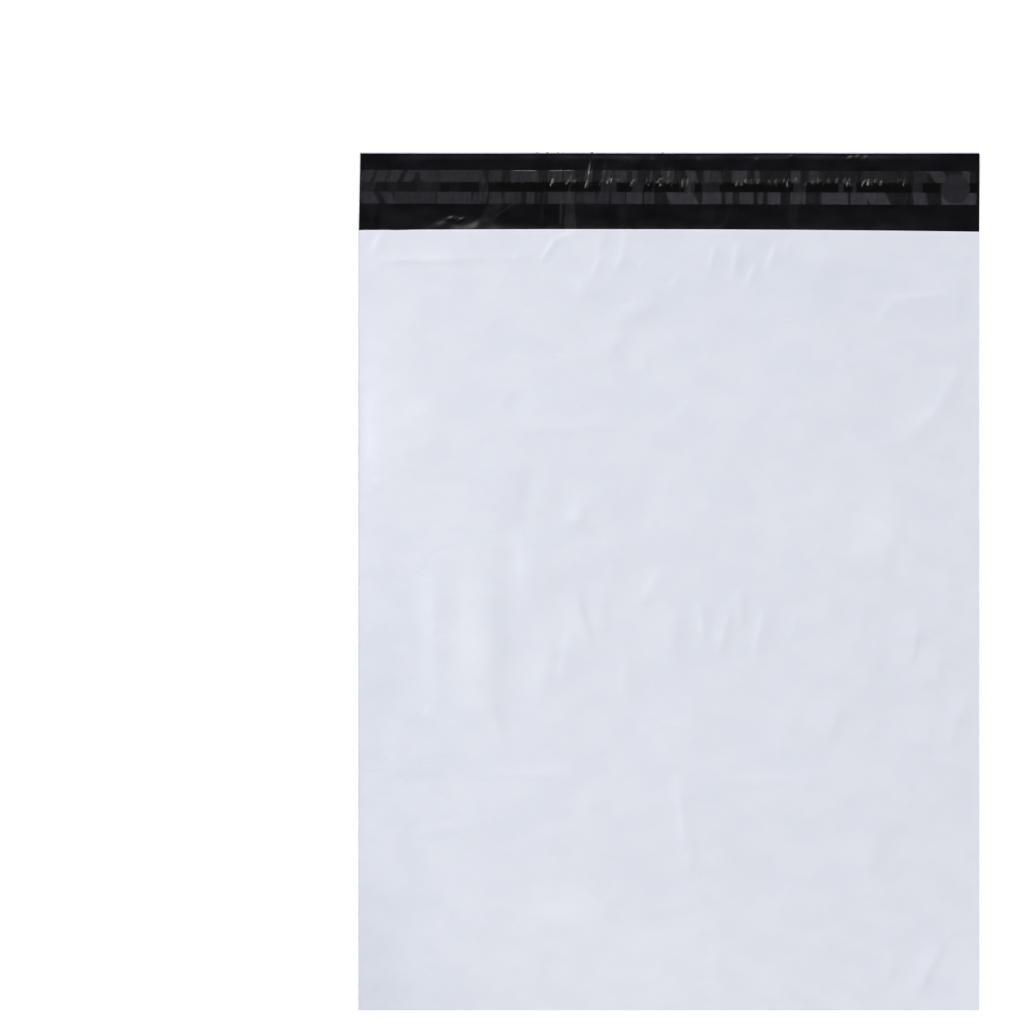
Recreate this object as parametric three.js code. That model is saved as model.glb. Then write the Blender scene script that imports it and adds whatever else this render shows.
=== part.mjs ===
// A self-seal mailing bag of white film, lying open on its back.
//
// The bag is one web of film, white outside and black inside. The web is folded at the bottom,
// and a hot knife cuts it off at both sides, which welds the front panel to the back panel
// in a thin bead. The back panel runs on past the mouth as the closing flap, and across the
// flap lie a line of adhesive and the release liner that covers it until the bag is closed.
// A little air keeps the front panel off the back panel, so the pocket is a real open space.
//
// Millimetres. +X runs across the bag, +Y towards the flap, +Z up.
// The origin is under the middle of the bag, on the surface it lies on.

import * as THREE from 'three';
import { LoftGeometry } from 'three/addons/geometries/LoftGeometry.js';
import { mergeGeometries } from 'three/addons/utils/BufferGeometryUtils.js';

const { clamp, lerp, smoothstep } = THREE.MathUtils;

// The film web
const filmGauge = 0.0635;
const bagWidth = 483;
const pocketDepth = 605.8;
const flapDepth = 60.7;

// The welded rim at both sides
const weldBeadWidth = 1.2;
const weldBeadHeight = 0.35;

// The air in the pocket: full height, height at the mouth, and how far it takes to change
const puffHeight = 11;
const mouthGap = 8;
const puffRise = 170;
const mouthRun = 200;
const puffFullness = 2.2;

// The soft swells of the loose front panel
const swellHeight = 0.9;
const swellPitch = 196;

// The cut edge of the front panel at the mouth
const mouthBow = 0.5;
const mouthSkew = 0.9;

// The flap waves a little off the surface, and its left edge leans in
const flapWaveHeight = 1.2;
const flapWavePitch = 161;
const flapLean = 1.25;

// The adhesive line and its release liner, which lie a little aslant on the flap
const adhesiveWidth = 7.6;
const adhesiveThickness = 0.15;
const adhesiveShoulder = 0.8;
const linerWidth = 26;
const linerGauge = 0.05;
const linerMargin = 14.5;
const linerSlant = 1.2;
const linerDrape = 2;
const bondClearance = 0.05;
const endClearance = 0.3;

// How finely the surfaces are stepped
const acrossSteps = 28;
const pocketSteps = 18;
const beadSteps = 4;

// Lines across the bag
const bagDepth = pocketDepth + flapDepth;
const foldY = -bagDepth / 2;
const creaseY = foldY + filmGauge;
const mouthY = foldY + pocketDepth;
const flapEndY = foldY + bagDepth;
const linerTopY = flapEndY - linerMargin;
const linerLowY = linerTopY - linerWidth;
const adhesiveMidY = (linerTopY + linerLowY) / 2;
const adhesiveTopY = adhesiveMidY + adhesiveWidth / 2;
const adhesiveLowY = adhesiveMidY - adhesiveWidth / 2;

// The line inside each side weld where the two panels part
const weldLineX = bagWidth / 2 - weldBeadWidth;

// Rows of points from the bottom crease to the mouth edge, as shares of that run.
// They lie closer together near the crease, where the pocket opens.
const pocketRows = [];
for (let i = 0; i <= pocketSteps; i++) {
  pocketRows.push((i / pocketSteps) ** 1.25);
}

// Rows of points on the liner, and on the flap between the mouth edge and the flap's end.
const linerRows = [
  linerLowY,
  adhesiveLowY - linerDrape,
  adhesiveLowY,
  adhesiveTopY,
  adhesiveTopY + linerDrape,
  linerTopY,
];
const flapRows = [(mouthY + linerLowY) / 2, ...linerRows, (linerTopY + flapEndY) / 2];

// Stations across the bag: through one weld bead, over the pocket and through the other.
const pouchStations = [];
for (let i = 0; i <= acrossSteps; i++) {
  pouchStations.push(lerp(-weldLineX, weldLineX, i / acrossSteps));
}
const leftWeldStations = [];
for (let i = 0; i <= beadSteps; i++) {
  leftWeldStations.push(lerp(-bagWidth / 2, -weldLineX, i / beadSteps));
}
const rightWeldStations = leftWeldStations.map((x) => -x).reverse();
const allStations = [
  ...leftWeldStations.slice(0, -1),
  ...pouchStations,
  ...rightWeldStations.slice(1),
];

// Where the front panel's cut edge lies at a station.
function mouthEdgeY(x) {
  const share = x / (bagWidth / 2);
  return mouthY - mouthBow * share ** 2 - (mouthSkew / 2) * share;
}

// Where a row of the pocket lies at a station.
function pocketY(x, row) {
  return lerp(creaseY, mouthEdgeY(x), row);
}

// Where a row of the liner or the flap lies at a station.
function flapY(x, row) {
  return row - linerSlant * (x / bagWidth);
}

// Where all rows of the flap lie at a station, up to its end.
function flapStops(x) {
  return [...flapRows.map((row) => flapY(x, row)), flapEndY];
}

// How far a point lies along the flap, from 0 at the mouth to 1 at the flap's end.
function alongFlap(y) {
  return clamp((y - mouthY) / flapDepth, 0, 1);
}

// A point of the film. The flap's points shift so that its left edge leans in.
function point(x, y, z) {
  const lean = flapLean * alongFlap(y) * (0.5 - x / bagWidth);
  return new THREE.Vector3(x + lean, y, z);
}

// How high the underside of the film lies: flat under the pocket, waving under the flap.
function undersideZ(x, y) {
  const wave = 0.5 * (1 - Math.cos((2 * Math.PI * x) / flapWavePitch));
  return flapWaveHeight * wave * smoothstep(alongFlap(y), 0, 1);
}

// The upper face of the back panel and the flap, away from the welds.
function blackFaceZ(x, y) {
  return undersideZ(x, y) + filmGauge;
}

// The free height between the two panels.
function pocketGap(x, y) {
  const across = 1 - Math.min(1, Math.abs(x) / weldLineX) ** puffFullness;
  const rise = 1 - (1 - clamp((y - creaseY) / puffRise, 0, 1)) ** 2;
  const full = lerp(puffHeight, mouthGap, smoothstep(y, mouthY - mouthRun, mouthY));
  const turn = (2 * Math.PI) / swellPitch;
  const swell = swellHeight * Math.sin(turn * (x + y)) * Math.cos(turn * (x - y));
  return across * rise * (full + swell);
}

// How much the weld bead stands above film of a given thickness.
function beadRise(x, thickness) {
  const share = clamp((bagWidth / 2 - Math.abs(x)) / weldBeadWidth, 0, 1);
  return (weldBeadHeight - thickness) * Math.sin(Math.PI * share);
}

// The outer face, white: front panel from the mouth down, round the fold, back panel and flap.
function outerPath(x) {
  const front = pocketRows.toReversed().map((row) => {
    const y = pocketY(x, row);
    return point(x, y, 2 * filmGauge + pocketGap(x, y) + beadRise(x, 2 * filmGauge));
  });
  const fold = [point(x, foldY, 1.5 * filmGauge), point(x, foldY, 0.5 * filmGauge)];
  const back = pocketRows.map((row) => point(x, pocketY(x, row), 0));
  const flap = flapStops(x).map((y) => point(x, y, undersideZ(x, y)));
  return [...front, ...fold, ...back, ...flap];
}

// The black face of the flap, from its end to the mouth edge.
function flapPath(x) {
  const stops = flapStops(x).reverse();
  const flap = stops.map((y) => point(x, y, blackFaceZ(x, y) + beadRise(x, filmGauge)));
  return [...flap, point(x, mouthEdgeY(x), filmGauge + beadRise(x, filmGauge))];
}

// The inner face, black: flap, back panel down to the crease, and front panel up to the mouth.
function innerPath(x) {
  const back = pocketRows.toReversed().map((row) => point(x, pocketY(x, row), filmGauge));
  const front = pocketRows.slice(1).map((row) => {
    const y = pocketY(x, row);
    return point(x, y, filmGauge + pocketGap(x, y));
  });
  return [...flapPath(x).slice(0, -1), ...back, ...front];
}

// A surface skinned over the stations, through an open row of points at each.
function skin(stations, pathAt) {
  const surface = new LoftGeometry(stations.map(pathAt), { closed: false });
  return surface.deleteAttribute('uv').deleteAttribute('normal');
}

// The skin of a face that looks the other way from the outer one. It is split along the same
// diagonals as the outer face, so that the film keeps its thickness where it twists.
function innerSkin(stations, pathAt) {
  const surface = skin(stations, (x) => pathAt(x).reverse());
  surface.index.array.reverse();
  return surface;
}

// The cut side of the bag at one weld: triangles laid zigzag between the outline's lower
// and upper rows, always stepping on from the row that lags behind.
function sideFace(x) {
  const outer = outerPath(x);
  const frontRows = pocketRows.length + 1;
  const lower = outer.slice(frontRows);
  const upper = [...outer.slice(0, frontRows).reverse(), ...flapPath(x).reverse()];
  const triangles = [];
  let low = 0;
  let high = 0;
  while (low < lower.length - 1 || high < upper.length - 1) {
    const lowEnds = low === lower.length - 1;
    const highLags = high < upper.length - 1 && (lowEnds || upper[high + 1].y <= lower[low + 1].y);
    const next = highLags ? upper[high + 1] : lower[low + 1];
    triangles.push(x > 0 ? [lower[low], next, upper[high]] : [lower[low], upper[high], next]);
    high += highLags ? 1 : 0;
    low += highLags ? 0 : 1;
  }
  const points = triangles.flat();
  return new THREE.BufferGeometry().setFromPoints(points).setIndex(points.map((p, i) => i));
}

// The film: one closed solid, with its white and black faces as two groups of triangles.
function makeFilm() {
  const mouthCut = (x) => {
    const inner = Math.abs(x) < weldLineX ? innerPath(x) : flapPath(x);
    return [inner.at(-1), outerPath(x)[0]];
  };
  const endCut = (x) => [outerPath(x).at(-1), flapPath(x)[0]];
  const white = mergeGeometries([
    skin(allStations, outerPath),
    skin(allStations, mouthCut),
    skin(allStations, endCut),
    sideFace(-bagWidth / 2),
    sideFace(bagWidth / 2),
  ]);
  const black = mergeGeometries([
    innerSkin(leftWeldStations, flapPath),
    innerSkin(pouchStations, innerPath),
    innerSkin(rightWeldStations, flapPath),
  ]);
  const film = mergeGeometries([white, black], true);
  film.computeVertexNormals();
  return film;
}

// Stations of a strip that lies on the flap and stops short of both weld beads.
function stripStations() {
  const end = weldLineX - endClearance;
  return [-end, ...pouchStations.slice(1, -1), end];
}

// A point on a row of the liner, at a height above the black face of the flap.
function stripPoint(x, row, height) {
  const y = flapY(x, row);
  return point(x, y, blackFaceZ(x, y) + height);
}

// The adhesive line: a flat bead with sloping shoulders.
function makeAdhesive() {
  const crown = bondClearance + adhesiveThickness;
  const sections = stripStations().map((x) => [
    stripPoint(x, adhesiveLowY, bondClearance),
    stripPoint(x, adhesiveTopY, bondClearance),
    stripPoint(x, adhesiveTopY - adhesiveShoulder, crown),
    stripPoint(x, adhesiveLowY + adhesiveShoulder, crown),
  ]);
  return new LoftGeometry(sections, { capStart: true, capEnd: true });
}

// The release liner: it rides over the adhesive and comes down on the flap at both sides of it.
function makeLiner() {
  const sections = stripStations().map((x) => {
    const lift = (row) => {
      const overAdhesive = row >= adhesiveLowY && row <= adhesiveTopY;
      return bondClearance + (overAdhesive ? adhesiveThickness + bondClearance : 0);
    };
    const lower = linerRows.map((row) => stripPoint(x, row, lift(row)));
    const upper = linerRows.toReversed().map((row) => stripPoint(x, row, lift(row) + linerGauge));
    return [...lower, ...upper];
  });
  return new LoftGeometry(sections, { capStart: true, capEnd: true });
}

const whiteFilm = new THREE.MeshStandardMaterial({ color: 0xdde1ea, roughness: 0.38, metalness: 0 });
const blackFilm = new THREE.MeshStandardMaterial({ color: 0x17161a, roughness: 0.32, metalness: 0 });
const adhesive = new THREE.MeshStandardMaterial({ color: 0x0e0d10, roughness: 0.15, metalness: 0 });
const releaseFilm = new THREE.MeshStandardMaterial({ color: 0x2a292e, roughness: 0.22, metalness: 0 });

function part(name, geometry, material) {
  const mesh = new THREE.Mesh(geometry, material);
  mesh.name = name;
  return mesh;
}

const bag = new THREE.Group();
bag.name = 'mailing_bag';
bag.add(part('bag_film', makeFilm(), [whiteFilm, blackFilm]));
bag.add(part('adhesive_line', makeAdhesive(), adhesive));
bag.add(part('release_liner', makeLiner(), releaseFilm));

export default bag;
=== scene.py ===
# The looks of a self-seal mailing bag of white film that lies open on its back.
import math

import bpy
import numpy as np
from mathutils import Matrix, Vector


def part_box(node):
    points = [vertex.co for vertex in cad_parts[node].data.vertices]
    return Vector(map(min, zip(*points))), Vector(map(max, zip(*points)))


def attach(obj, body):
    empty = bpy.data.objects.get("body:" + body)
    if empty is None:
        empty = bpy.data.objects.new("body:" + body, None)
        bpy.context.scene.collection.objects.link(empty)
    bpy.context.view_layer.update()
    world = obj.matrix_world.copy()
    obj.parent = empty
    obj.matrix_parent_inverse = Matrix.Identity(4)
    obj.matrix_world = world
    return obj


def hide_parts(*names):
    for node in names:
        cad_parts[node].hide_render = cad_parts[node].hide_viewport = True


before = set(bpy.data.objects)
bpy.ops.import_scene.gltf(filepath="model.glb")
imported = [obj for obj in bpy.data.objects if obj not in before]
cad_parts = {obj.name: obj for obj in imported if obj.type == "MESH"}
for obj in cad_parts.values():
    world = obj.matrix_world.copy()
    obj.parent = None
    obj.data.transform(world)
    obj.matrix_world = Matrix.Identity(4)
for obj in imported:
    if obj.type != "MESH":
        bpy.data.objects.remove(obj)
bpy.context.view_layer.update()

# Lengths are in millimetres up to the point where a mesh is made.
MM = 0.001

# The film and its welded rim, as in the part.
FILM_GAUGE = 0.0635
POCKET_DEPTH = 605.8
WELD_BEAD_WIDTH = 1.2
WELD_BEAD_HEIGHT = 0.35

# The air in the pocket, as in the part. The swells of the front panel are lower here, because
# the folds below take their place, and the bottom left corner is pressed flat.
PUFF_HEIGHT = 11
MOUTH_GAP = 8
PUFF_RISE = 170
MOUTH_RUN = 200
PUFF_FULLNESS = 2.2
SWELL_HEIGHT = 0.25
SWELL_PITCH = 196
PRESSED_SHARE = 0.9
PRESSED_CORNER = (-236, -320)
PRESSED_REACH = (62, 150)

# The cut edge at the mouth, which slants a little more here than in the part.
MOUTH_BOW = 0.5
MOUTH_SKEW = 1.3

# The right weld bead is pressed flat to this share of the left one.
PRESSED_BEAD_SHARE = 0.12

# The wave and the lean of the flap, as in the part.
FLAP_WAVE_HEIGHT = 1.2
FLAP_WAVE_PITCH = 161
FLAP_LEAN = 1.25

# The adhesive line and its liner, as in the part.
ADHESIVE_THICKNESS = 0.15
ADHESIVE_SHOULDER = 0.8
LINER_GAUGE = 0.05
LINER_DRAPE = 2
LINER_SLANT = 1.2
BOND_CLEARANCE = 0.05

# What only the render shows: the curled cut edges and the worn corners of the flap.
CURL_RADIUS = 0.68
CURL_TURN = 230
CURL_UNEVENNESS = 0.12
MOUTH_ROLL = 1.1
MOUTH_DIP = 0.3
END_CROWN = 0.6
CORNER_RADIUS = 1.6
CORNER_SHARPNESS = 41

# The flap heaves up where it comes out of the mouth, and more so towards the left.
MOUTH_HEAVE = 1.5
HEAVE_RUN = 18
HEAVE_LEFT_MORE = 0.6
HEAVE_LEFT_X = -165
HEAVE_LEFT_REACH = 55

# Lines across the bag, read from the frame.
film_low, film_high = (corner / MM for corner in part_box("bag_film"))
glue_low, glue_high = (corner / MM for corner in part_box("adhesive_line"))
liner_low, liner_high = (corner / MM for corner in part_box("release_liner"))
HALF_WIDTH = (film_high.x - film_low.x) / 2
FOLD_Y = film_low.y
FLAP_END_Y = film_high.y
MOUTH_Y = FOLD_Y + POCKET_DEPTH
FLAP_DEPTH = FLAP_END_Y - MOUTH_Y
WELD_LINE_X = HALF_WIDTH - WELD_BEAD_WIDTH
STRIP_END_X = -liner_low.x
SLANT_AT_END = LINER_SLANT * STRIP_END_X / (2 * HALF_WIDTH)
GLUE_LOW_Y, GLUE_TOP_Y = glue_low.y + SLANT_AT_END, glue_high.y - SLANT_AT_END
GLUE_WIDTH = GLUE_TOP_Y - GLUE_LOW_Y
LINER_LOW_Y, LINER_TOP_Y = liner_low.y + SLANT_AT_END, liner_high.y - SLANT_AT_END


def ease(value, start, end):
    """0 before start, 1 after end, and a smooth step between them."""
    share = np.clip((value - start) / (end - start), 0, 1)
    return share * share * (3 - 2 * share)


def blend(a, b, share):
    return a + (b - a) * share


def noise(x, y, cell_x, cell_y, seed):
    """Smooth noise from -1 to 1 whose lumps have about the size of a cell."""
    lattice = np.random.default_rng(seed).uniform(-1, 1, (512, 512))
    column, row = x / cell_x + 200, y / cell_y + 200
    left, low = np.floor(column).astype(int), np.floor(row).astype(int)
    across, up = column - left, row - low
    across = across**3 * (across * (across * 6 - 15) + 10)
    up = up**3 * (up * (up * 6 - 15) + 10)
    left, low = left % 511, low % 511
    below = blend(lattice[low, left], lattice[low, left + 1], across)
    above = blend(lattice[low + 1, left], lattice[low + 1, left + 1], across)
    return blend(below, above, up)


def fold(x, y, at, along, length, steep, gentle, height):
    """A soft fold in the film. It runs through a point in a direction in degrees, falls off steeply
    to its left and gently to its right, and dies out at both ends."""
    turn = math.radians(along)
    forward = (x - at[0]) * math.cos(turn) + (y - at[1]) * math.sin(turn)
    leftward = (y - at[1]) * math.cos(turn) - (x - at[0]) * math.sin(turn)
    side = np.where(leftward > 0, steep, gentle)
    return height * np.exp(-((forward / length) ** 4) - (leftward / side) ** 2)


# The shape of the pocket

def mouth_edge_y(x):
    share = x / HALF_WIDTH
    return MOUTH_Y - MOUTH_BOW * share**2 - (MOUTH_SKEW / 2) * share


def pocket_gap(x, y):
    """The free height between the front and the back panel."""
    across = 1 - np.minimum(1, np.abs(x) / WELD_LINE_X) ** PUFF_FULLNESS
    rise = 1 - (1 - np.clip((y - FOLD_Y) / PUFF_RISE, 0, 1)) ** 2
    full = blend(PUFF_HEIGHT, MOUTH_GAP, ease(y, MOUTH_Y - MOUTH_RUN, MOUTH_Y))
    turn = 2 * math.pi / SWELL_PITCH
    swell = SWELL_HEIGHT * np.sin(turn * (x + y)) * np.cos(turn * (x - y))
    right = (x - PRESSED_CORNER[0]) / PRESSED_REACH[0]
    up = (y - PRESSED_CORNER[1]) / PRESSED_REACH[1]
    pressed = PRESSED_SHARE * np.exp(-(right**2) - up**2)
    return across * rise * (full + swell) * (1 - pressed)


def bead_rise(x, thickness):
    """How far the weld bead stands above film of this thickness. The right one is pressed flat."""
    share = np.clip((HALF_WIDTH - np.abs(x)) / WELD_BEAD_WIDTH, 0, 1)
    height = np.where(x < 0, 1, PRESSED_BEAD_SHARE) * (WELD_BEAD_HEIGHT - thickness)
    return height * np.sin(math.pi * share)


FOLD_STRENGTH = 1.62
CREASE_COUNT = 150

# The random swells of the front panel: height, width and length of a lump, and seed.
FRONT_SWELLS = (
    (0.3, 95, 80, 11),
    (0.22, 52, 38, 12),
    (0.1, 25, 18, 13),
    (0.045, 12, 9, 14),
)
CRINKLE_HEIGHT = 0.12

# The folds of the front panel that can be told apart: place, direction, half length,
# widths of the steep and the gentle side, and height.
FRONT_FOLDS = (
    ((-226, 262), 62, 9, 3, 7, 0.45),
    ((-192, 248.5), 0, 34, 4.5, 2.4, 0.42),
    ((-130, 250), 0, 30, 3.5, 2.6, 0.16),
    ((-93, 257), 57, 12, 1.8, 3.5, 0.42),
    ((-78, 268), 20, 9, 1.8, 4, 0.26),
    ((-118, 253), 70, 4, 1.8, 3, 0.2),
    ((-56, 244), 66, 8, 1.8, 4.5, 0.4),
    ((-52, 262), 250, 8, 3, 5, 0.26),
    ((-38, 248), 60, 6, 1.8, 4, 0.28),
    ((-21, 245), 66, 5, 1.8, 4, 0.26),
    ((-66, 226), 85, 10, 7, 10, 0.5),
    ((-34, 262), 84, 8, 3, 5, 0.3),
    ((34, 251), 76, 9, 2.6, 3.4, 0.42),
    ((52, 248), 84, 13, 3.4, 5, 0.5),
    ((64, 238), 66, 9, 2, 6, 0.4),
    ((80, 252), 70, 11, 2.4, 5, 0.42),
    ((93, 260), 62, 8, 2.4, 4, 0.26),
    ((118, 240), 80, 14, 8, 14, 0.4),
    ((6, 234), 50, 8, 2.2, 5, 0.24),
    ((-28, 207), 18, 16, 6, 8, 0.45),
    ((-44, 182), 95, 9, 7, 7, 0.5),
    ((-20, 172), 100, 10, 4, 6, 0.3),
    ((89, 202), 0, 11, 1.4, 2, 0.12),
    ((168, 210), 52, 9, 2.2, 7, 0.34),
    ((192, 220), 6, 24, 2.6, 6, 0.34),
    ((224, 214), 88, 14, 8, 4, 0.3),
    ((215, 145), 62, 24, 5, 7, 0.5),
    ((192, 118), 45, 16, 5, 7, 0.45),
    ((9, 131), 44, 14, 3.4, 7, 0.34),
    ((-226, 128), 92, 46, 14, 30, 0.5),
    ((-192, 118), 96, 26, 18, 14, 0.5),
    ((-74, 119), 2, 46, 7, 3, 0.34),
    ((-128, 140), 52, 16, 3, 7, 0.2),
    ((-12, 150), 60, 12, 3, 7, 0.2),
    ((-119, 76), 88, 22, 22, 9, 0.9),
    ((-100, 62), 268, 18, 12, 8, 0.5),
    ((-69, 52), 66, 11, 9, 5, 0.5),
    ((-44, 20), 118, 13, 8, 6, 0.4),
    ((-104, 2), 80, 28, 10, 14, 0.55),
    ((-141, -50), 88, 58, 20, 13, 1.1),
    ((-133, -108), 104, 20, 7, 5, 0.45),
    ((-180, -40), 272, 48, 15, 9, 0.8),
    ((-178, 12), 12, 12, 4, 7, 0.25),
    ((-112, 18), 96, 20, 6, 12, 0.5),
    ((-66, -30), 106, 24, 9, 3, 0.62),
    ((-50, -22), 94, 14, 9, 4, 0.42),
    ((-80, -56), 80, 20, 4, 8, 0.4),
    ((-96, -72), 78, 24, 8, 7, 0.45),
    ((-34, -72), 86, 18, 5, 9, 0.4),
    ((-14, -4), 60, 15, 4, 9, 0.42),
    ((4, -40), 84, 17, 8, 6, 0.4),
    ((26, -32), 96, 16, 3.4, 5, 0.42),
    ((43, -38), 74, 18, 6, 4, 0.5),
    ((56, -20), 100, 13, 5, 3.4, 0.5),
    ((70, -40), 80, 20, 3.6, 8, 0.42),
    ((97, -34), 84, 13, 6, 6, 0.32),
    ((124, -28), 100, 12, 6, 5, 0.3),
    ((148, -36), 80, 10, 7, 5, 0.36),
    ((168, 30), 78, 26, 34, 11, 1.1),
    ((120, 48), 82, 20, 26, 14, 0.7),
    ((187, 4), 120, 12, 9, 5, 0.42),
    ((190, -50), 82, 12, 12, 3.4, 0.62),
    ((209, -70), 84, 11, 8, 4, 0.48),
    ((160, -62), 100, 10, 8, 4, 0.4),
    ((214, -10), 96, 16, 6, 9, 0.4),
    ((224, -112), 62, 17, 8, 5, 0.5),
    ((128, -108), 66, 18, 13, 6, 0.55),
    ((94, -116), 94, 14, 9, 6, 0.34),
    ((20, -104), 96, 14, 9, 7, 0.3),
    ((-106, -150), 0, 34, 5, 3, 0.34),
    ((-192, -146), 178, 22, 5, 4, 0.3),
    ((-210, -140), 120, 16, 5, 8, 0.3),
    ((84, -156), 0, 56, 6, 3, 0.34),
    ((10, -178), 96, 26, 4, 7, 0.5),
    ((16, -214), 80, 15, 6, 5, 0.34),
    ((-60, -172), 60, 15, 5, 9, 0.3),
    ((-170, -192), 8, 24, 6, 5, 0.4),
    ((-206, -226), 118, 24, 8, 10, 0.5),
    ((-192, -286), 124, 18, 4, 9, 0.32),
    ((-60, -250), 12, 34, 12, 7, 0.8),
    ((-8, -256), 4, 26, 6, 3, 0.4),
    ((40, -206), 120, 20, 7, 12, 0.4),
    ((92, -244), 62, 20, 6, 12, 0.4),
    ((122, -282), 118, 17, 6, 9, 0.4),
    ((36, -290), 84, 18, 7, 9, 0.36),
    ((-104, -292), 96, 22, 12, 9, 0.4),
    ((160, -204), 70, 24, 12, 10, 0.5),
    ((203, -300), 64, 20, 9, 4, 0.7),
    ((172, -298), 84, 13, 7, 5, 0.34),
)


def small_creases(x, y):
    """Many short faint creases, as film keeps after it has been folded and flattened."""
    random = np.random.default_rng(17)
    height = np.zeros(np.shape(x))
    for _ in range(CREASE_COUNT):
        at = (random.uniform(-225, 225), random.uniform(FOLD_Y + 20, MOUTH_Y - 5))
        along = random.choice((0, 90, 60, 120)) + random.uniform(-18, 18) + random.choice((0, 180))
        length, gentle = random.uniform(4, 13), random.uniform(4, 9)
        steep, tall = random.uniform(1.8, 3), random.uniform(0.1, 0.24)
        height += fold(x, y, at, along, length, steep, gentle, tall)
    return height


def front_wrinkles(x, y):
    """How far the loose front panel departs from the smooth pillow of air under it."""
    height = np.zeros(np.shape(x))
    for tall, *lump in FRONT_SWELLS:
        height += tall * noise(x, y, *lump)
    for *place, tall in FRONT_FOLDS:
        height += fold(x, y, *place, FOLD_STRENGTH * tall)
    height += small_creases(x, y)
    crinkle = noise(x + 0.5 * y, y, 5, 12, 15) * noise(x, y, 30, 26, 16)
    height += CRINKLE_HEIGHT * crinkle * ease(y, MOUTH_Y - 70, MOUTH_Y - 15)
    at_weld = ease(WELD_LINE_X - np.abs(x), 0, 16)
    at_fold = ease(y - FOLD_Y, 0, 14)
    return height * at_weld * at_fold


# How grey the white film is where no shade or light is painted on it, and how many levels lie
# between its lightest and its greyest.
PLAIN_GREYNESS = 0.35
GREY_LEVELS = 30

# Where the white film is painted greyer, by this many levels, or lighter, as painted shade and
# painted light in place of the shading of its broad slopes: place, reach and levels.
PAINTED_SHADE_AND_LIGHT_PATCHES = (
    ((-238, -330), (50, 95), 9),
    ((-222, -100), (60, 95), 4),
    ((-215, 140), (35, 70), -3),
    ((90, 235), (170, 60), 2.5),
    ((-30, -300), (100, 50), -4),
    ((-158, -45), (16, 55), -4),
    ((168, 38), (20, 26), -5),
    ((-72, -258), (24, 9), -5),
)


def greyness_with_painted_shade(x, y):
    """How grey the white film looks, from 0 to 1, with painted shade and painted light in soft
    patches.
    """
    levels = np.zeros(np.shape(x))
    for at, reach, step in PAINTED_SHADE_AND_LIGHT_PATCHES:
        levels += step * np.exp(-(((x - at[0]) / reach[0]) ** 2) - ((y - at[1]) / reach[1]) ** 2)
    return PLAIN_GREYNESS + levels / GREY_LEVELS


def front_face(x, y):
    """The height of the white outer face of the front panel."""
    gap = np.maximum(0, pocket_gap(x, y) + front_wrinkles(x, y))
    to_edge = mouth_edge_y(x) - y
    dip = MOUTH_DIP * np.clip(1 - to_edge / MOUTH_ROLL, 0, 1) ** 2
    roll = np.minimum(dip, gap)
    return 2 * FILM_GAUGE + gap - roll + bead_rise(x, 2 * FILM_GAUGE)


# The shape of the flap

# Creases of the flap that run in any direction, given as the folds of the front panel are.
FLAP_CREASES = (
    ((-126, 288), 35, 8, 1.1, 3.5, 0.5),
    ((-175, 277), 22, 8, 3, 5, 0.5),
    ((-200, 281), 14, 26, 6, 9, 0.5),
    ((-148, 276), 30, 10, 3, 5, 0.6),
    ((-171, 281.5), 40, 2.2, 0.8, 1.1, 0.34),
    ((-168.4, 282), 40, 2.4, 0.8, 1.1, 0.38),
    ((-165.8, 281), 40, 2.6, 0.8, 1.1, 0.38),
    ((-163, 280), 40, 2.6, 0.8, 1.1, 0.42),
    ((-160.5, 281), 40, 2.2, 0.8, 1.1, 0.34),
    ((-142, 315), 118, 6, 1, 2, 0.25),
    ((-228, 284), 262, 13, 2, 7, 0.7),
    ((-96, 284), 262, 9, 1.6, 4, 0.35),
    ((-30, 281), 268, 10, 2.4, 3.5, 0.35),
    ((-6, 290), 268, 16, 1.6, 2.4, 0.4),
    ((47, 284), 72, 11, 1.6, 4, 0.5),
    ((156, 284), 74, 9, 1.8, 4, 0.4),
    ((-61, 321), 78, 5, 1, 1.6, 0.36),
    ((-49, 320), 84, 5, 1, 1.8, 0.4),
    ((-29, 321), 82, 5, 1, 1.6, 0.4),
    ((-25.5, 322), 80, 4, 0.9, 1.5, 0.34),
    ((-14, 323), 86, 5, 1, 1.8, 0.36),
    ((0, 316), 80, 5, 0.9, 1.5, 0.36),
    ((22, 324), 84, 4, 1, 1.6, 0.3),
    ((67, 325), 74, 3, 1, 1.6, 0.34),
    ((94, 329), 60, 2.6, 1, 1.6, 0.34),
    ((140, 328), 50, 2.6, 1, 1.6, 0.34),
    ((146, 329), 60, 2, 1, 1.6, 0.3),
    ((152, 328), 56, 2.4, 1, 1.6, 0.34),
)

# Facets of the flap that look up to the left and glow: left end at the mouth, width, lean, rise.
FLAP_FACETS = (
    (-84, 13, -0.08, 2.5),
    (-150, 12, 0.45, 1.6),
    (24, 11, 0.05, 1.5),
    (92, 9, 0, 1.6),
    (-40, 6, 0, 0.8),
)


# Where along X the flap starts to gather at the adhesive, gathers less, and nearly stops.
GATHER_START = (-150, -95)
GATHER_LESS = (30, 60)
GATHER_STOP = (185, 215)


def alongside(y):
    """How far a point lies along the flap, from 0 at the mouth to 1 at the flap's end."""
    return np.clip((y - MOUTH_Y) / FLAP_DEPTH, 0, 1)


def ridges(x, y, cell_x, cell_y, seed):
    """Sharp crests with soft hollows between them, from 0 to 1."""
    return (1 - np.abs(noise(x, y, cell_x, cell_y, seed))) ** 2


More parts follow.
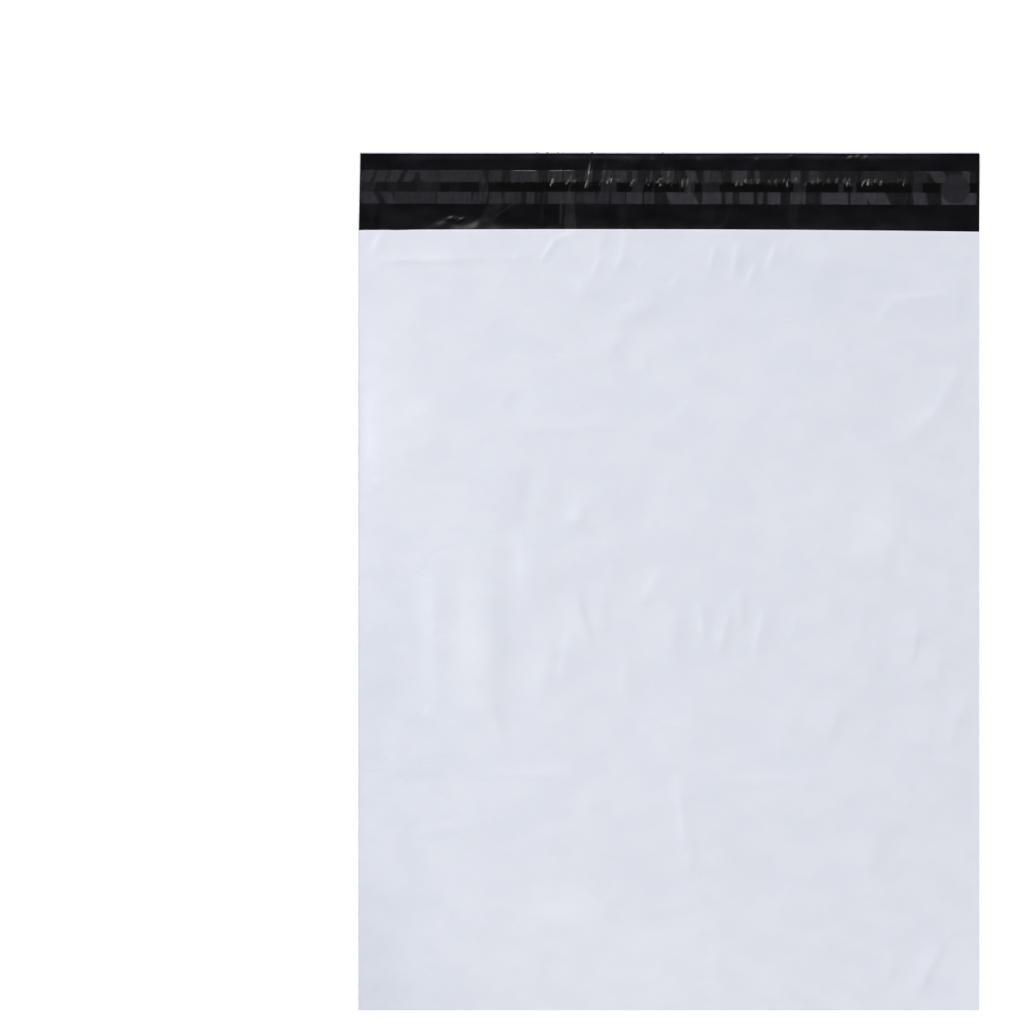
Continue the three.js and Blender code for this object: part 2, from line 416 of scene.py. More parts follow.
def flap_wrinkles(x, y):
    """How far the film of the flap departs from its long wave."""
    gathered = ease(x, *GATHER_START) * blend(1, 0.5, ease(x, *GATHER_LESS))
    gathered *= blend(1, 0.3, ease(x, *GATHER_STOP))
    near_glue = np.exp(-(((y - GLUE_TOP_Y - 3) / 13) ** 2))
    tilted = x - 0.1 * y
    height = 0.42 * gathered * near_glue * ridges(tilted, y, 6.5, 30, 21)
    height += 0.2 * gathered * near_glue * ridges(tilted, y, 3.2, 16, 24)
    pulled = ease(x, -118, -90) * ease(-x, -40, -15)
    height += 0.3 * pulled * ridges(x - 0.04 * y, y, 7, 90, 25)
    height += 0.15 * (1 + noise(tilted, y, 26, 40, 22))
    height += 0.07 * (1 + noise(x, y, 13, 9, 23))
    for place in FLAP_CREASES:
        height += fold(x, y, *place)
    for left, width, lean, rise in FLAP_FACETS:
        past = x - left - lean * (y - MOUTH_Y)
        ramp = rise * np.clip(past / width, 0, 1) * ease(-past, -width - 35, -width)
        height += ramp * ease(-y, -LINER_LOW_Y - 14, -LINER_LOW_Y + 4)
    from_weld = HALF_WIDTH - np.abs(x)
    return height * ease(from_weld, 1.2, blend(30, 22, ease(y, MOUTH_Y, MOUTH_Y + 12)))


def black_face(x, y):
    """The height of the black inner face of the back panel and the flap."""
    wave = 0.5 * (1 - np.cos(2 * math.pi * x / FLAP_WAVE_PITCH))
    underside = FLAP_WAVE_HEIGHT * wave * ease(alongside(y), 0, 1)
    past_mouth = y - MOUTH_Y
    to_end = FLAP_END_Y - y
    heave = MOUTH_HEAVE * np.clip(1 - past_mouth / HEAVE_RUN, 0, 1) ** 2
    heave *= 1 + HEAVE_LEFT_MORE * np.exp(-(((x - HEAVE_LEFT_X) / HEAVE_LEFT_REACH) ** 2))
    crown = END_CROWN * ease(past_mouth, 0, 30) * ease(to_end, 0.7, 7)
    inward = ease(HALF_WIDTH - np.abs(x), 1.2, 55)
    bared = ease(past_mouth, -30, -8)
    return underside + FILM_GAUGE + flap_wrinkles(x, y) * bared + (heave * bared + crown) * inward


def lean_in(x, y):
    """The flap's left edge leans in, and its two corners are worn round."""
    lean = FLAP_LEAN * alongside(y) * (0.5 - x / (2 * HALF_WIDTH))
    past = np.clip(y - (FLAP_END_Y - CORNER_RADIUS), 0, CORNER_RADIUS)
    inset = CORNER_RADIUS - np.sqrt(CORNER_RADIUS**2 - past**2)
    return x + lean - inset * (x / HALF_WIDTH) ** CORNER_SHARPNESS


# The release liner over the adhesive. Where it has come loose it stands off the flap and looks
# milky: left and right end, lean of the patch and how loose it is.
LOOSE_BELOW_GLUE = (
    (-240, -227, -0.5, 0.55), (-221.5, -213.8, -0.5, 0.6), (-213, -180.4, 0, 0.5),
    (-179.6, -154, 0, 0.6), (-152.4, -141.6, 0.3, 0.5), (-140, -130, 0, 0.5),
    (-127.6, -114.4, 0, 0.45), (-110.5, -104.3, 0, 0.6), (-94.2, -73.2, 0, 0.55),
    (-65.5, -57, 0, 0.5), (-55.4, -46, 0.2, 0.45), (-44.5, -33.6, 0, 0.5),
    (-32.8, -20.4, 0, 0.75), (-18.9, -11.1, 0, 0.6), (-0.2, 21.5, -0.5, 0.9),
    (26.2, 40.9, 0, 0.8), (44, 49.5, 0, 0.75), (54.9, 65.8, 0, 0.8),
    (68.9, 73.5, 0, 0.7), (76.6, 86.7, 0, 0.9), (94.5, 106.2, 0, 0.75),
    (118.6, 139.5, 0, 0.95), (141.1, 154.3, 0, 0.85), (155.1, 170.6, -0.45, 0.95),
    (190, 200.9, -0.2, 0.85), (211.7, 238.9, 0, 0.9),
)
LOOSE_ABOVE_GLUE = (
    (-239.4, -230, 0.5, 0.5), (-228, -219, 0.4, 0.5), (-217.5, -208.3, 0.5, 0.6),
    (-204.5, -197.5, 0.5, 0.65), (-194, -144, -0.4, 0.5), (-140, -130, 0, 0.45),
    (-123, -101, 0, 0.5), (-94.2, -83.3, 0, 0.45), (-81.8, -73.2, 0, 0.5),
    (-65.5, -59.3, 0, 0.5), (-52.3, -45.3, 0.2, 0.55), (-42.2, -32.8, 0, 0.5),
    (-29, -24.3, 0, 0.55), (-15, -13, 0.1, 0.5), (-5.7, 4.4, 0, 0.5),
    (13.7, 21.5, -0.3, 0.7), (27, 40.1, 0, 0.5), (48.7, 60.3, 0, 0.6),
    (66.5, 70.4, 0, 0.5), (94.5, 102.3, 0, 0.6), (108.5, 117, 0, 0.5),
    (149.6, 170.6, 0, 0.3), (190, 201.6, 0, 0.35), (204, 215.6, -0.8, 0.75),
    (228, 234.3, 0, 0.7),
)
CLEAR_OF_GLUE = (
    (-240, -227.8, 0.3, 0.3), (-227, -177, 0.2, 0.13), (-218.5, -211, -0.3, 0.2),
    (-196, -178.8, 0.2, 0.25), (-176, -132, 0, 0.04), (-170, -162, 0.2, 0.12),
    (-148, -140.5, 0, 0.24), (-53, -40.6, 0, 0.3), (-28.2, -19.6, 0.3, 0.35), (12.2, 20, 0, 0.35),
    (26.2, 39.4, 0, 0.25), (96.8, 106.2, 0, 0.3), (131.8, 135.7, 0, 0.4),
    (142.6, 145.8, 0, 0.3), (189.2, 197, 0, 0.3),
)

# A round flat spot near the right end, where the liner lies smooth.
SPOT_CENTRE = (222.6, 305)
SPOT_RADIUS = 11.3
SPOT_LOOSENESS = 0.42

# Sharp little pleats of the liner along the adhesive's upper edge: those that can be told apart,
# and how many more lie between them.
MORE_PLEATS = 80
PLEAT_PLACES = (
    -91, -64, -44.5, -29, -6.4, -1, 10.6, 52.6, 56.5, 59.6, 69.7, 82.9, 92.2, 98.4,
    111.6, 116.2, 123.2, 130.2, 138.8, 151.2, 155.1, 160.5, 164.4, 178.4,
)


def patches(x, y, places, low_y, top_y, edge=0.35):
    """How loose the liner is in one band of patches, from 0 to 1."""
    middle = (low_y + top_y) / 2
    loose = np.zeros(np.shape(x))
    for left, right, lean, level in places:
        shift = lean * (y - middle)
        inside = ease(x - left - shift, -edge, edge) * ease(right + shift - x, -edge, edge)
        loose = np.maximum(loose, level * inside)
    band = ease(y, low_y - edge, low_y + edge) * ease(top_y - y, -edge, edge)
    return loose * band


def looseness(x, y):
    """How far the liner has come off what it covers, from 0 to 1."""
    loose = patches(x, y, LOOSE_BELOW_GLUE, LINER_LOW_Y - 1, GLUE_LOW_Y)
    loose += patches(x, y, LOOSE_ABOVE_GLUE, GLUE_TOP_Y, LINER_TOP_Y + 1)
    loose += patches(x, y, CLEAR_OF_GLUE, GLUE_LOW_Y, GLUE_TOP_Y)
    streaks = ridges(x - 0.12 * y, y, 2.4, 30, 34)
    loose = loose * (0.82 + 0.4 * streaks)
    gathered = ease(x, *GATHER_START) * ease(-x, -120, -60)
    loose += 0.18 * gathered * streaks * ease(y, GLUE_TOP_Y - 1, GLUE_TOP_Y + 1)
    off_glue = ease(np.abs(y - (GLUE_LOW_Y + GLUE_TOP_Y) / 2), GLUE_WIDTH / 2, GLUE_WIDTH / 2 + 0.6)
    loose = np.maximum(0.92 * loose, (0.1 + 0.14 * streaks) * off_glue)
    spot = ease(SPOT_RADIUS - np.hypot(x - SPOT_CENTRE[0], y - SPOT_CENTRE[1]), -0.3, 0.3)
    return blend(loose, SPOT_LOOSENESS, spot)


def pleats(x, y):
    """The sharp pleats of the liner and of the adhesive under it."""
    random = np.random.default_rng(31)
    height = np.zeros(np.shape(x))
    places = list(PLEAT_PLACES) + list(random.uniform(-150, 190, MORE_PLEATS))
    for number, place in enumerate(places):
        small = 1 if number < len(PLEAT_PLACES) else random.uniform(0.4, 0.8)
        at = (place, GLUE_TOP_Y + random.uniform(-2.2, 1.8))
        along = random.uniform(55, 85)
        length = small * random.uniform(1.6, 3.6)
        tall = small * random.uniform(0.34, 0.56)
        height += fold(x, y, at, along, length, 0.55, 0.95, tall)
    crumpled = ease(noise(x, y, 7, 40, 33), -0.2, 0.5) * ease(x, -155, -125) * ease(-x, -195, -180)
    near = np.exp(-(((y - GLUE_TOP_Y - 0.4) / 2.3) ** 2))
    return height + 0.34 * crumpled * near * ridges(x - 0.4 * y, y, 1.9, 3.4, 32)


def slanted(x, y):
    """Where a point of the strip lies on the flap, across which the strip runs aslant."""
    return y - LINER_SLANT * x / (2 * HALF_WIDTH)


def edge_curls(x, y):
    """Two stretches of the liner's upper edge that stand off the flap and catch the light."""
    height = np.zeros(np.shape(x))
    for middle, half_length in ((-112, 9), (-84, 10)):
        height += fold(x, y, (middle, LINER_TOP_Y - 0.8), 0, half_length, 0.7, 1.4, 0.35)
    return height


def liner_face(x, y):
    """The height of the liner's upper face."""
    over_low_edge = ease(y, GLUE_LOW_Y - LINER_DRAPE, GLUE_LOW_Y)
    over_top_edge = ease(-y, -GLUE_TOP_Y - 2.5 * LINER_DRAPE, -GLUE_TOP_Y)
    on_glue = over_low_edge * over_top_edge * (ADHESIVE_THICKNESS + BOND_CLEARANCE)
    to_edge = np.minimum(y - LINER_LOW_Y, LINER_TOP_Y - y)
    lift = 0.12 * looseness(x, y) * ease(to_edge, 0, 0.7)
    rest = black_face(x, slanted(x, y)) + BOND_CLEARANCE + on_glue + LINER_GAUGE
    return rest + lift + pleats(x, y) + edge_curls(x, y)


def glue_face(x, y):
    """The height of the adhesive's crown."""
    to_edge = np.minimum(y - GLUE_LOW_Y, GLUE_TOP_Y - y)
    crown = ADHESIVE_THICKNESS * ease(to_edge, -0.01, ADHESIVE_SHOULDER)
    lumps = 0.02 * noise(x, y, 2.2, 1.4, 41) * ease(to_edge, 0, ADHESIVE_SHOULDER)
    return black_face(x, slanted(x, y)) + BOND_CLEARANCE + crown + lumps + pleats(x, y)


# Meshes

# Where a sheet's painted highlight for the left weld bead stands among its materials.
PAINTED_HIGHLIGHT_SLOT = 3


def rows_of(*stretches):
    """Places along a line, from (start, end, steps) stretches that follow each other."""
    places = [np.linspace(start, end, steps + 1)[:-1] for start, end, steps in stretches]
    return np.append(np.concatenate(places), stretches[-1][1])


def face_grid(numbers, flip):
    """The quads between the points of a grid."""
    corners = [numbers[:-1, :-1], numbers[:-1, 1:], numbers[1:, 1:], numbers[1:, :-1]]
    quads = np.stack([c.ravel() for c in corners], 1)
    return quads[:, ::-1] if flip else quads


def border(numbers):
    """The points round a grid, anticlockwise seen from above."""
    sides = numbers[0, :-1], numbers[:-1, -1], numbers[-1, :0:-1], numbers[:0:-1, 0]
    return np.concatenate(sides)


def closed_sheet(name, upper, lower, materials, upper_slots=None):
    """A thin closed piece between two grids of points. The lower grid may skip points of the
    upper one. The materials are those of the upper face, the lower face and the rim."""
    upper_numbers = np.arange(upper[..., 0].size).reshape(upper.shape[:2])
    lower_numbers = upper_numbers.size + np.arange(lower[..., 0].size).reshape(lower.shape[:2])
    top = face_grid(upper_numbers, False)
    bottom = face_grid(lower_numbers, True)
    high, low = border(upper_numbers), border(lower_numbers)
    step = len(high) // len(low)
    high_loop = np.append(high, high[0])
    low_loop = np.append(low, low[0])
    rim = []
    for i in range(len(low)):
        over = high_loop[i * step : (i + 1) * step + 1]
        rim.append([low_loop[i], low_loop[i + 1], *over[::-1]])
    points = np.concatenate([upper.reshape(-1, 3), lower.reshape(-1, 3)]) * MM
    mesh = bpy.data.meshes.new(name)
    faces = [[int(number) for number in face] for face in [*top, *bottom, *rim]]
    mesh.from_pydata(points.tolist(), [], faces)
    for material in materials:
        mesh.materials.append(material)
    if upper_slots is None:
        upper_slots = np.zeros(len(top))
    slots = np.concatenate([upper_slots, np.full(len(bottom), 1), np.full(len(rim), 2)])
    mesh.polygons.foreach_set("material_index", slots.astype(np.int32))
    mesh.polygons.foreach_set("use_smooth", np.ones(len(slots), bool))
    on_border = np.zeros(len(points), bool)
    on_border[high] = True
    on_border[low] = True
    ends = np.zeros(len(mesh.edges) * 2, np.int32)
    mesh.edges.foreach_get("vertices", ends)
    ends = ends.reshape(-1, 2)
    sharp = mesh.attributes.new("sharp_edge", "BOOLEAN", "EDGE")
    sharp.data.foreach_set("value", on_border[ends].all(1))
    mesh.update()
    piece = bpy.data.objects.new(name, mesh)
    bpy.context.scene.collection.objects.link(piece)
    return piece


def lowest_near(height, step):
    """The heights that a grid with fewer points keeps, each lowered to the lowest round it."""
    padded = np.pad(height, step, mode="edge")
    rows, columns = height.shape
    reach = range(2 * step + 1)
    around = [padded[i : i + rows, j : j + columns] for i in reach for j in reach]
    return np.min(around, 0)[::step, ::step]


def on_left_bead(x):
    """Which quads of a grid lie on the left weld bead, as one row of them after another."""
    middle = (x[:-1, :-1] + x[1:, 1:]) / 2
    return (middle < -WELD_LINE_X).ravel()


def across_bag(steps):
    """Places across the bag, through one weld bead, over the pocket and through the other."""
    return rows_of(
        (-HALF_WIDTH, -WELD_LINE_X, 4),
        (-WELD_LINE_X, WELD_LINE_X, steps),
        (WELD_LINE_X, HALF_WIDTH, 4),
    )


def store(piece, name, upper_values):
    """Keeps a value for each point of a sheet's upper face. The lower face gets the first one."""
    points = len(piece.data.vertices)
    values = np.full(points, upper_values.flat[0], np.float32)
    values[: upper_values.size] = upper_values.ravel()
    piece.data.attributes.new(name, "FLOAT", "POINT").data.foreach_set("value", values)


def make_front_panel(white, black, rim):
    """The front panel, from the fold to the mouth, white above and black below."""
    lip = POCKET_DEPTH - 1.4
    stretches = ((0, 30, 12), (30, 530, 228), (530, 600, 56), (600, lip, 8), (lip, POCKET_DEPTH, 8))
    x, share = np.meshgrid(across_bag(288), rows_of(*stretches) / POCKET_DEPTH)
    y = blend(FOLD_Y, mouth_edge_y(x), share)
    z = front_face(x, y)
    z[0] = 1.5 * FILM_GAUGE
    upper = np.stack([x, y, z], -1)
    lower = upper[::4, ::4].copy()
    inner = lowest_near(z - bead_rise(x, 2 * FILM_GAUGE), 4) - FILM_GAUGE
    lower[..., 2] = np.maximum(inner, 0.9 * FILM_GAUGE)
    # Only the left weld bead, on the side of the strongest lamp, gets the painted highlight.
    slots = np.where(on_left_bead(x), PAINTED_HIGHLIGHT_SLOT, 0)
    piece = closed_sheet("front_panel", upper, lower, [white, black, white, rim], slots)
    # The white face carries the painted shade and painted light as a value for each point.
    store(piece, "greyness_with_painted_shade", greyness_with_painted_shade(x, y))
    return piece


def curled(line, radius, turn):
    """A line of points across the film, after the film has curled up through this angle."""
    x, y, z = line.T
    end_y = y + radius * math.sin(turn)
    sideways = lean_in(x, end_y) - lean_in(x, y)
    return np.stack([x + sideways, end_y, z + radius * (1 - math.cos(turn))], -1)


def make_back_panel_and_flap(black, white, rim):
    """The back panel with the flap that it runs on into, black above and white below.
    The cut end of the flap curls up and shows its white side."""
    curl_start = FLAP_END_Y - CURL_RADIUS
    stretches = ((FOLD_Y, MOUTH_Y - 12, 30), (MOUTH_Y - 12, curl_start, 80))
    x, y = np.meshgrid(across_bag(472), rows_of(*stretches))
    bead = bead_rise(x, FILM_GAUGE) * ease(y, mouth_edge_y(x) - 1.5, mouth_edge_y(x))
    z = black_face(x, y)
    upper = np.stack([lean_in(x, y), y, z + bead], -1)
    lower = np.stack([lean_in(x, y), y, z], -1)[::2, ::2]
    lower[..., 2] = np.maximum(lowest_near(z, 2) - FILM_GAUGE, 0)
    lower[-1, :, 2] = z[-1, ::2] - FILM_GAUGE
    radius = CURL_RADIUS * (1 + CURL_UNEVENNESS * noise(x[-1], x[-1], 40, 40, 51))
    turns = np.radians(np.linspace(0, CURL_TURN, 13))[1:]
    curl = [curled(upper[-1], radius - FILM_GAUGE, turn) for turn in turns]
    under = [curled(lower[-1], radius[::2], turn) for turn in turns[1::2]]
    upper = np.concatenate([upper, curl])
    lower = np.concatenate([lower, under])
    x = np.concatenate([x, np.tile(x[-1], (len(curl), 1))])
    # The left weld bead of the black flap gets the same painted highlight.
    slots = np.where(on_left_bead(x), PAINTED_HIGHLIGHT_SLOT, 0)
    piece = closed_sheet("back_panel_and_flap", upper, lower, [black, white, white, rim], slots)
    store(piece, "greyness_with_painted_shade", np.full(x.size, PLAIN_GREYNESS))
    return piece


def strip_columns():
    return rows_of((-STRIP_END_X, -110, 146), (-110, 190, 740), (190, STRIP_END_X, 60))


def make_adhesive(glue):
    rows = rows_of(
        (GLUE_LOW_Y, GLUE_LOW_Y + 0.8, 3),
        (GLUE_LOW_Y + 0.8, GLUE_TOP_Y - 2, 6),
        (GLUE_TOP_Y - 2, GLUE_TOP_Y, 6),
    )
    x, y = np.meshgrid(strip_columns(), rows)
    place = (lean_in(x, y), slanted(x, y))
    upper = np.stack([*place, glue_face(x, y) + 0.005], -1)
    lower = np.stack([*place, black_face(x, slanted(x, y)) + BOND_CLEARANCE], -1)
    return closed_sheet("adhesive_line", upper, lower, [glue, glue, glue])


def make_liner(release_film, inner_face):
    rows = rows_of(
        (LINER_LOW_Y, LINER_LOW_Y + 0.8, 3),
        (LINER_LOW_Y + 0.8, GLUE_TOP_Y - 3, 18),
        (GLUE_TOP_Y - 3, GLUE_TOP_Y + 3.5, 20),
        (GLUE_TOP_Y + 3.5, LINER_TOP_Y - 0.8, 6),
        (LINER_TOP_Y - 0.8, LINER_TOP_Y, 3),
    )
    x, y = np.meshgrid(strip_columns(), rows)
    z = liner_face(x, y)
    place = (lean_in(x, y), slanted(x, y))
    upper = np.stack([*place, z], -1)
    lower = np.stack([*place, z - LINER_GAUGE], -1)
    piece = closed_sheet("release_liner", upper, lower, [release_film, inner_face, release_film])
    store(piece, "looseness", looseness(x, y))
    return piece


# Materials

def colour(code):
    """A colour written as an sRGB hex code, in the linear values that shaders take."""
    levels = [int(code[i : i + 2], 16) / 255 for i in (1, 3, 5)]
    linear = [v / 12.92 if v <= 0.04045 else ((v + 0.055) / 1.055) ** 2.4 for v in levels]
    return (*linear, 1)


def add_node(tree, kind, inputs=None, **settings):
    """A node of this kind, with its settings, and with each input given a value or a link."""
    node = tree.nodes.new(kind)
    for name, value in settings.items():
        setattr(node, name, value)
    for name, value in (inputs or {}).items():
        if isinstance(value, bpy.types.NodeSocket):
            tree.links.new(value, node.inputs[name])
        else:
            node.inputs[name].default_value = value
    return node


def new_material(name):
    """An empty material with its output node."""
    material = bpy.data.materials.new(name)
    material.use_nodes = True
    material.node_tree.nodes.clear()
    return material, material.node_tree


def counted(tree, size):
    """The place on the piece, counted in cells of this many millimetres along X, Y and Z."""
    place = add_node(tree, "ShaderNodeTexCoord").outputs["Object"]
    scale = [1 / (length * MM) for length in size]
    return add_node(tree, "ShaderNodeMapping", {"Vector": place, "Scale": scale}).outputs["Vector"]


def pattern(tree, size, detail=3, roughness=0.5, distortion=0):
    """Noise with lumps of this size."""
    return add_node(tree, "ShaderNodeTexNoise", {
        "Vector": counted(tree, size),
        "Scale": 1,
        "Detail": detail,
        "Roughness": roughness,
        "Distortion": distortion,
    }).outputs["Fac"]


def cells(tree, size):
    """Shallow dents of this size, with sharp ridges between them."""
    place = counted(tree, size)
    return add_node(tree, "ShaderNodeTexVoronoi", {"Vector": place, "Scale": 1}).outputs["Distance"]


def combined(tree, operation, first, second):
    """The sum, product or the like of two values."""
    node = add_node(tree, "ShaderNodeMath", {0: first, 1: second}, operation=operation)
    return node.outputs["Value"]


def ranged(tree, value, low, high, start=0.3, end=0.7):
    """A value from a pattern, spread over a range."""
    ends = {"Value": value, "From Min": start, "From Max": end, "To Min": low, "To Max": high}
    return add_node(tree, "ShaderNodeMapRange", ends).outputs["Result"]


def mixed(tree, share, first, second):
    """A colour between two, by a share."""
    node = add_node(tree, "ShaderNodeMix", data_type="RGBA")
    tree.links.new(share, node.inputs["Factor"])
    colours = [socket for socket in node.inputs if socket.type == "RGBA"]
    colours[0].default_value = first
    colours[1].default_value = second
    return [socket for socket in node.outputs if socket.type == "RGBA"][0]


def bump(tree, height, depth, under=None):
    """Relief of this depth in millimetres."""
    inputs = {"Height": height, "Strength": 1, "Distance": depth * MM}
    if under is not None:
        inputs["Normal"] = under
    return add_node(tree, "ShaderNodeBump", inputs).outputs["Normal"]


def make_white_polyethylene():
    """Blown low-density polyethylene filled with white pigment: satin, cool white, with faint
    lines along the way that it was drawn, and a skin like very fine orange peel."""
    material, tree = new_material("white_polyethylene_film")
    draw_lines = pattern(tree, (220, 1.6, 20), detail=2)
    clouds = pattern(tree, (30, 22, 30), detail=4, roughness=0.55)
    peel = pattern(tree, (1.1, 0.9, 1.1), detail=2)
    creases = pattern(tree, (15, 11, 15), detail=1, distortion=1.5)
    dents = cells(tree, (22, 16, 22))
    crumpled = ranged(tree, pattern(tree, (75, 60, 75), detail=1), 0.15, 1, 0.42, 0.6)
    relief = combined(tree, "MULTIPLY", combined(tree, "ADD", creases, dents), crumpled)
    # The attribute read here holds painted shade and painted light, and the clouds add the film's
    # own uneven tone.
    painted_shade_and_tone = add_node(tree, "ShaderNodeAttribute", attribute_name="greyness_with_painted_shade").outputs["Fac"]
    painted_shade_and_tone = combined(tree, "ADD", painted_shade_and_tone, ranged(tree, clouds, -0.045, 0.045, 0.4, 0.6))
    tint = mixed(tree, painted_shade_and_tone, colour("#E6E9F1"), colour("#C8CDD9"))
    normal = bump(tree, draw_lines, 0.006)
    normal = bump(tree, relief, 0.42, normal)
    normal = bump(tree, peel, 0.0025, normal)
    surface = add_node(tree, "ShaderNodeBsdfPrincipled", {
        "Base Color": tint,
        "Roughness": ranged(tree, draw_lines, 0.36, 0.44),
        "IOR": 1.51,
        "Normal": normal,
    })
    add_node(tree, "ShaderNodeOutputMaterial", {"Surface": surface.outputs["BSDF"]})
    return material


def make_black_polyethylene():
    """The black layer of the same film, filled with carbon black: deep, with a soft sheen."""
    material, tree = new_material("black_polyethylene_film")
    draw_lines = pattern(tree, (160, 1.3, 20), detail=2)
    clouds = pattern(tree, (26, 12, 26), detail=3)
    peel = pattern(tree, (1.0, 0.8, 1.0), detail=2)
    tint = mixed(tree, ranged(tree, clouds, 0, 1), colour("#08070B"), colour("#0D0C12"))
    normal = bump(tree, draw_lines, 0.006)
    normal = bump(tree, clouds, 0.08, normal)
    normal = bump(tree, peel, 0.003, normal)
    surface = add_node(tree, "ShaderNodeBsdfPrincipled", {
        "Base Color": tint,
        "Roughness": ranged(tree, clouds, 0.2, 0.27),
        "IOR": 1.51,
        "Normal": normal,
    })
    add_node(tree, "ShaderNodeOutputMaterial", {"Surface": surface.outputs["BSDF"]})
    return material


def make_painted_bead_highlight():
    """Painted highlight of the left weld bead, which the hot knife melted: a white lighter than the
    film, smooth and glossy, a little uneven on its way.
    """
    material, tree = new_material("weld_bead_painted_highlight")
    drops = pattern(tree, (2, 3.5, 2), detail=2)
    tint = mixed(tree, ranged(tree, drops, 0, 1), colour("#E6E8EE"), colour("#F2F3F7"))
    surface = add_node(tree, "ShaderNodeBsdfPrincipled", {
        "Base Color": tint,
        "Roughness": ranged(tree, drops, 0.16, 0.26),
        "IOR": 1.51,
        "Normal": bump(tree, drops, 0.05),
    })
    add_node(tree, "ShaderNodeOutputMaterial", {"Surface": surface.outputs["BSDF"]})
    return material


def make_hot_melt():
    """Pressure-sensitive hot-melt adhesive: clear and soft, nearly black over the film. The liner
    wets it, which takes away most of its gloss."""
    material, tree = new_material("hot_melt_adhesive")
    lumps = pattern(tree, (2.4, 1.6, 2.4), detail=3)
    tint = mixed(tree, ranged(tree, lumps, 0, 1), colour("#050506"), colour("#0A0A0B"))
    surface = add_node(tree, "ShaderNodeBsdfPrincipled", {
        "Base Color": tint,
        "Roughness": ranged(tree, lumps, 0.12, 0.2),
        "IOR": 1.48,
        "Specular IOR Level": 0.15,
        "Normal": bump(tree, lumps, 0.05),
    })
    add_node(tree, "ShaderNodeOutputMaterial", {"Surface": surface.outputs["BSDF"]})
    return material


def make_release_film():
    """Clear release film with a silicone face: glossy, nearly unseen where it lies tight on the
    black flap, and milky grey where it has come loose."""
    material, tree = new_material("clear_release_film")
    loose = add_node(tree, "ShaderNodeAttribute", attribute_name="looseness").outputs["Fac"]
    mottle = pattern(tree, (3.5, 2.5, 3.5), detail=4, roughness=0.6)
    ripple = pattern(tree, (4, 14, 4), detail=3)
    uneven = combined(tree, "MULTIPLY", loose, ranged(tree, mottle, 0.82, 1.12))
    haze = ranged(tree, uneven, 0.008, 0.2, 0, 1)
    normal = bump(tree, ripple, 0.09)
    gloss = add_node(tree, "ShaderNodeBsdfGlossy", {
        "Color": (1, 1, 1, 1),
        "Roughness": 0.2,
        "Normal": normal,
    })
    milky = add_node(tree, "ShaderNodeBsdfDiffuse", {"Color": colour("#7C7B86"), "Normal": normal})
    clear = add_node(tree, "ShaderNodeBsdfTransparent", {"Color": (1, 1, 1, 1)})
    body = add_node(tree, "ShaderNodeMixShader", {
        0: haze,
        1: clear.outputs["BSDF"],
        2: milky.outputs["BSDF"],
    })
    mirror = add_node(tree, "ShaderNodeFresnel", {"IOR": 1.45, "Normal": normal})
    surface = add_node(tree, "ShaderNodeMixShader", {
        0: mirror.outputs["Fac"],
        1: body.outputs["Shader"],
        2: gloss.outputs["BSDF"],
    })
    add_node(tree, "ShaderNodeOutputMaterial", {"Surface": surface.outputs["Shader"]})
    return material


def make_inner_face():
    """The liner's face against the adhesive: it touches what it covers, so it has no gloss."""
    material, tree = new_material("inner_face_of_release_film")
    smears = pattern(tree, (5, 3, 5), detail=3)
    milky = add_node(tree, "ShaderNodeBsdfDiffuse", {"Color": colour("#7C7B86")})
    clear = add_node(tree, "ShaderNodeBsdfTransparent", {"Color": (1, 1, 1, 1)})
    haze = ranged(tree, smears, 0.002, 0.008)
    body = add_node(tree, "ShaderNodeMixShader", {
        0: haze,
        1: clear.outputs["BSDF"],
        2: milky.outputs["BSDF"],
    })
    add_node(tree, "ShaderNodeOutputMaterial", {"Surface": body.outputs["Shader"]})
    return material


# Floor, light and camera

def make_floor():
    """A plain white table top that looks white all over and keeps the bag's shadow."""
    material, tree = new_material("white_table")
    path = add_node(tree, "ShaderNodeLightPath")
    seen = combined(tree, "ADD", path.outputs["Is Camera Ray"], path.outputs["Is Glossy Ray"])
    seen = combined(tree, "ADD", seen, path.outputs["Is Transmission Ray"])
    strength = combined(tree, "MULTIPLY", seen, 0.35)
    glow = add_node(tree, "ShaderNodeEmission", {"Color": (1, 1, 1, 1), "Strength": strength})
    paint = add_node(tree, "ShaderNodeBsdfDiffuse", {"Color": (0.8, 0.8, 0.8, 1)})
    both = add_node(tree, "ShaderNodeAddShader", {
        0: glow.outputs["Emission"],
        1: paint.outputs["BSDF"],
    })
    add_node(tree, "ShaderNodeOutputMaterial", {"Surface": both.outputs["Shader"]})
    half = 20
    below = -0.0001
    plan = ((-half, -half), (half, -half), (half, half), (-half, half))
    mesh = bpy.data.meshes.new("table_top")
    mesh.from_pydata([(x, y, below) for x, y in plan], [], [(0, 1, 2, 3)])
    mesh.materials.append(material)
    table = bpy.data.objects.new("table_top", mesh)
    bpy.context.scene.collection.objects.link(table)
    return table


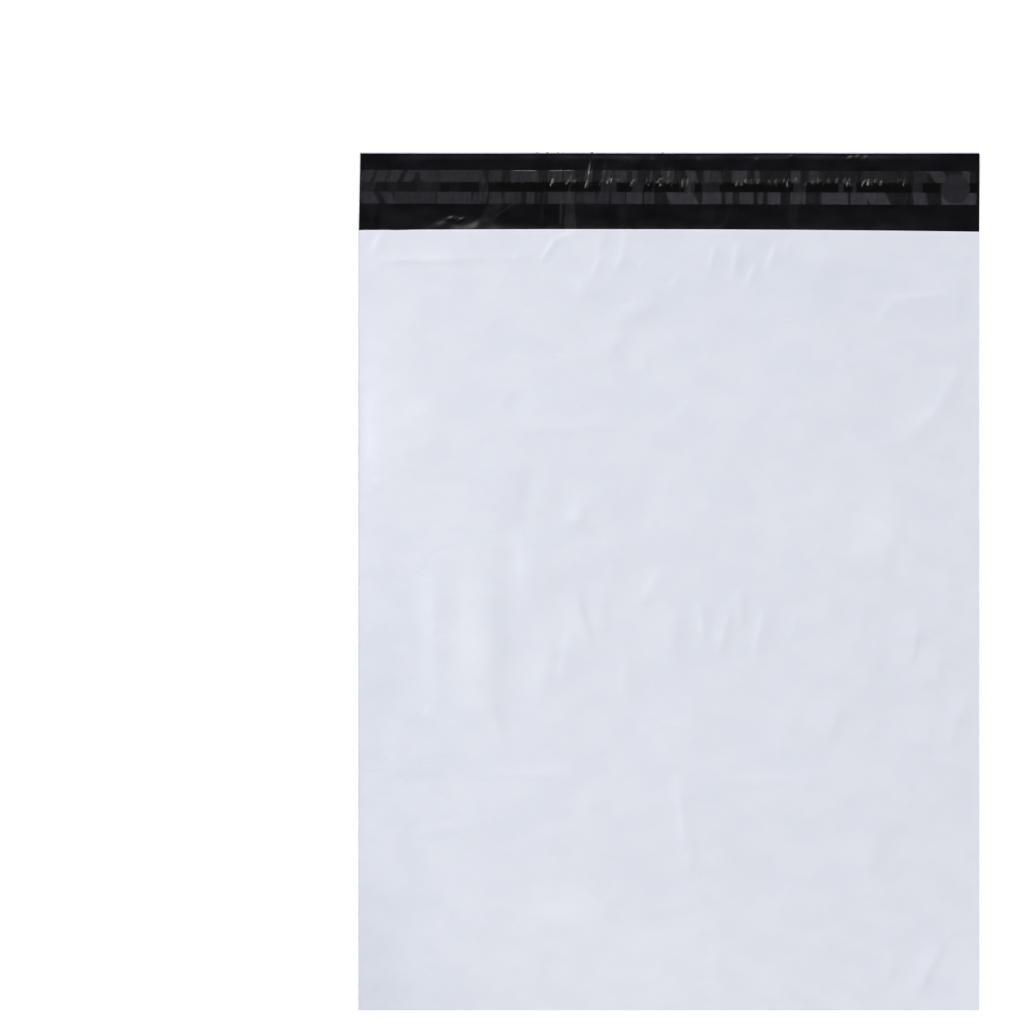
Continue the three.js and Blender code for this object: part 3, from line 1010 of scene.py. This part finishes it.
def make_lamp(name, towards, strength, spread):
    """A soft light from this direction, as many degrees wide as a big softbox looks."""
    lamp = bpy.data.lights.new(name, "SUN")
    lamp.energy = strength
    lamp.angle = math.radians(spread)
    holder = bpy.data.objects.new(name, lamp)
    holder.rotation_mode = "QUATERNION"
    holder.rotation_quaternion = Vector(towards).to_track_quat("Z", "Y")
    bpy.context.scene.collection.objects.link(holder)


def make_world():
    """A pale studio wall round a dark ceiling."""
    world = bpy.data.worlds.new("studio")
    bpy.context.scene.world = world
    world.use_nodes = True
    tree = world.node_tree
    tree.nodes.clear()
    direction = add_node(tree, "ShaderNodeTexCoord").outputs["Generated"]
    up = add_node(tree, "ShaderNodeSeparateXYZ", {"Vector": direction}).outputs["Z"]
    strength = ranged(tree, up, 1, 0.03, 0.12, 0.6)
    sky = add_node(tree, "ShaderNodeBackground", {"Color": (1, 1, 1, 1), "Strength": strength})
    add_node(tree, "ShaderNodeOutputWorld", {"Surface": sky.outputs["Background"]})


def make_camera():
    """The camera looks straight down, with the bag at its place and size in the picture."""
    camera = bpy.data.cameras.new("camera")
    camera.sensor_width = 36
    camera.lens = 100
    holder = bpy.data.objects.new("camera", camera)
    holder.location = (-0.1214, 0.0538, 2.2087)
    bpy.context.scene.collection.objects.link(holder)
    bpy.context.scene.camera = holder


white_film = make_white_polyethylene()
black_film = make_black_polyethylene()
bead_highlight_paint = make_painted_bead_highlight()
hot_melt = make_hot_melt()
release_film = make_release_film()

front = make_front_panel(white_film, black_film, bead_highlight_paint)
back = make_back_panel_and_flap(black_film, white_film, bead_highlight_paint)
adhesive = make_adhesive(hot_melt)
liner = make_liner(release_film, make_inner_face())

for piece, node, slot in (
    (front, "bag_film", "white_film"),
    (back, "bag_film", "white_film"),
    (adhesive, "adhesive_line", "adhesive"),
    (liner, "release_liner", "liner"),
):
    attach(piece, "root")
    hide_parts(node)

make_floor()
make_lamp("left_softbox", (-0.76, 0.26, 0.6), 2.15, 44)
make_lamp("top_softbox", (0.12, 0.78, 0.61), 1.1, 40)
make_lamp("near_softbox", (0.1, -0.8, 0.59), 0.85, 40)
make_lamp("right_softbox", (0.8, -0.1, 0.5), 0.45, 60)
make_world()
make_camera()
bpy.context.scene.view_settings.view_transform = "Standard"
